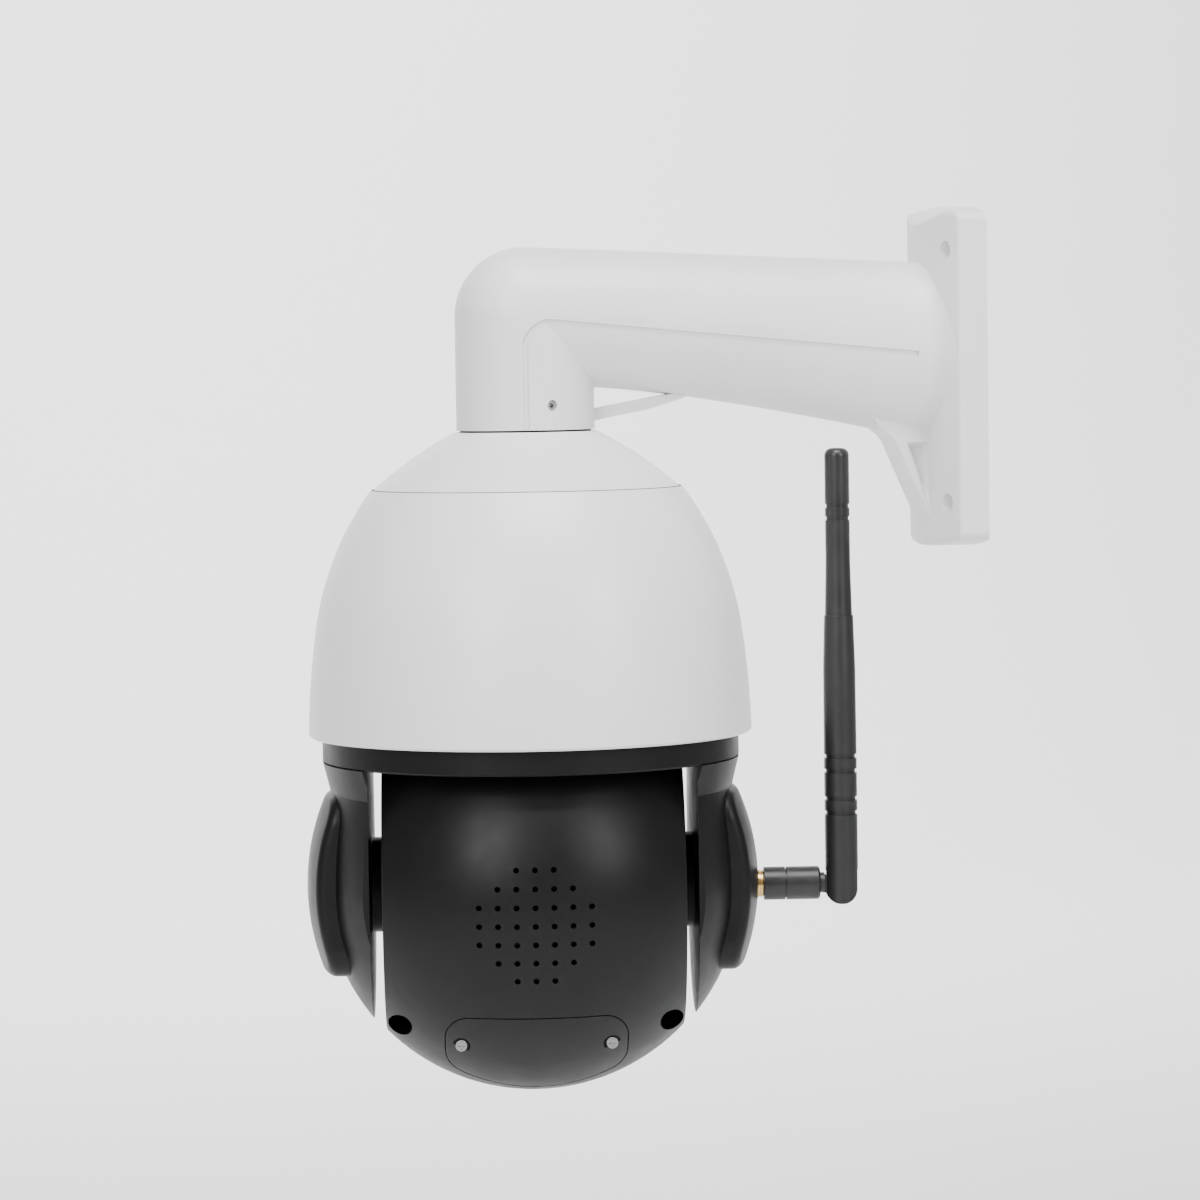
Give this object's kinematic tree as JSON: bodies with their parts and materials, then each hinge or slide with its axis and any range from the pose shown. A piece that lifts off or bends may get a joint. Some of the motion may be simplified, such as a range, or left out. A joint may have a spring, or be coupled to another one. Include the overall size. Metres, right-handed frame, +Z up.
{
  "type": "ptz camera",
  "caption": "Wall-hung pan-tilt camera: white elbow bracket and dome housing, black yoke with ball camera, rear speaker grille and folding aerial.",
  "frame": {"origin": "centre of the wall plate's back face", "axes": "+X out of the back of the wall plate into the wall, +Z up, the arm reaches along -X; at rest the head is turned 9.5 degrees clockwise seen from above, so its lens looks mostly along +Y"},
  "size_m": [0.285, 0.1864, 0.3692],
  "materials": {
    "white_coat": "satin powder coat",
    "white_shell": "satin",
    "black_shell": "satin",
    "aerial_plastic": "satin",
    "brass": "turned",
    "screw_steel": "zinc plated",
    "motor_steel": "plated can",
    "cast_metal": "die cast",
    "gear_plastic": "natural acetal",
    "pinion_brass": "hobbed",
    "seal_rubber": "matte",
    "board_green": "solder mask",
    "module_plastic": "fine texture",
    "lens_glass": "coated",
    "window_tint": "tinted",
    "lamp_lens": "moulded",
    "lamp_yellow": "phosphor"
  },
  "bodies": {
    "wall_mount": {"wall_bracket": "white_coat", "bracket_set_screw": "screw_steel", "neck_adapter": "cast_metal", "neck_gasket": "seal_rubber", "neck_nut": "cast_metal", "cap_shell": "white_shell", "shell_seal": "seal_rubber", "cap_screws": "screw_steel", "dome_shell": "white_shell", "base_plate": "cast_metal", "base_screws": "screw_steel", "pan_motor": "motor_steel", "pan_bearing_outer": "screw_steel", "main_board": "board_green", "board_standoffs": "screw_steel", "slip_ring_stator": "module_plastic"},
    "pan_motor_rotor": {"pan_pinion": "pinion_brass"},
    "turning_head": {"yoke_frame": "black_shell", "pan_hub": "cast_metal", "hub_screws": "screw_steel", "pan_gear": "gear_plastic", "pan_bearing_inner": "screw_steel", "pan_bearing_balls": "screw_steel", "slip_ring_rotor": "module_plastic", "left_ear_cover": "black_shell", "right_ear_cover": "black_shell", "tilt_bushes": "gear_plastic", "tilt_motor": "motor_steel", "antenna_jack": "brass", "jack_washer": "brass", "jack_nut": "brass"},
    "tilt_motor_rotor": {"tilt_pinion": "pinion_brass"},
    "camera_ball": {"rear_shell": "black_shell", "front_shell": "black_shell", "shell_screws": "screw_steel", "service_cover": "black_shell", "cover_gasket": "seal_rubber", "cover_screws": "screw_steel", "left_trunnion": "black_shell", "right_trunnion": "black_shell", "tilt_gear": "gear_plastic", "shaft_clips": "screw_steel", "module_frame": "cast_metal", "zoom_housing": "module_plastic", "sensor_board": "board_green", "front_lens": "lens_glass", "lamp_board": "board_green", "infrared_lamps": "lamp_lens", "white_lamps": "lamp_yellow", "window_glass": "window_tint", "window_ring": "black_shell", "speaker": "module_plastic", "speaker_gasket": "seal_rubber", "card_board": "board_green"},
    "zoom_group": {"zoom_lens_group": "module_plastic"},
    "focus_group": {"focus_lens_group": "module_plastic"},
    "reset_key": {"reset_button": "module_plastic"},
    "aerial_base": {"antenna_collar": "aerial_plastic", "antenna_pin": "screw_steel"},
    "aerial_whip": {"antenna_whip": "aerial_plastic"}
  },
  "joints": [
    {"name": "pan", "type": "hinge", "parent": "wall_mount", "child": "turning_head", "pos_m": [-0.19, 0, -0.1], "axis": [0, 0, 1], "range_deg": [-177.5, 177.5]},
    {"name": "pan_pinion_spin", "type": "hinge", "parent": "wall_mount", "child": "pan_motor_rotor", "pos_m": [-0.136, 0, -0.1], "axis": [0, 0, 1], "range_deg": [-900, 900]},
    {"name": "tilt", "type": "hinge", "parent": "turning_head", "child": "camera_ball", "pos_m": [-0.19, 0, -0.21], "axis": [0.9863, -0.165, 0], "range_deg": [-90, 0]},
    {"name": "tilt_pinion_spin", "type": "hinge", "parent": "turning_head", "child": "tilt_motor_rotor", "pos_m": [-0.27186, 0.0137, -0.186], "axis": [0.9863, -0.165, 0], "range_deg": [-5, 255]},
    {"name": "zoom_travel", "type": "slide", "parent": "camera_ball", "child": "zoom_group", "axis": [0.165, 0.9863, 0], "range_m": [0, 0.007]},
    {"name": "focus_travel", "type": "slide", "parent": "camera_ball", "child": "focus_group", "axis": [0.165, 0.9863, 0], "range_m": [0, 0.006]},
    {"name": "reset_press", "type": "slide", "parent": "camera_ball", "child": "reset_key", "axis": [-0.1126, -0.6726, -0.7314], "range_m": [-0.0006, 0], "stiffness_N_per_m": 400, "springref_m": 0.0002},
    {"name": "antenna_swivel", "type": "hinge", "parent": "turning_head", "child": "aerial_base", "pos_m": [-0.08151, -0.01816, -0.2127], "axis": [0.9863, -0.165, 0], "continuous": true},
    {"name": "antenna_fold", "type": "hinge", "parent": "aerial_base", "child": "aerial_whip", "pos_m": [-0.06198, -0.02142, -0.2148], "axis": [0.165, 0.9863, 0], "range_deg": [0, 11]}
  ],
  "couplings": [
    {"joint": "pan_pinion_spin", "follows": "pan", "ratio": -5},
    {"joint": "tilt_pinion_spin", "follows": "tilt", "ratio": -2.75}
  ]
}
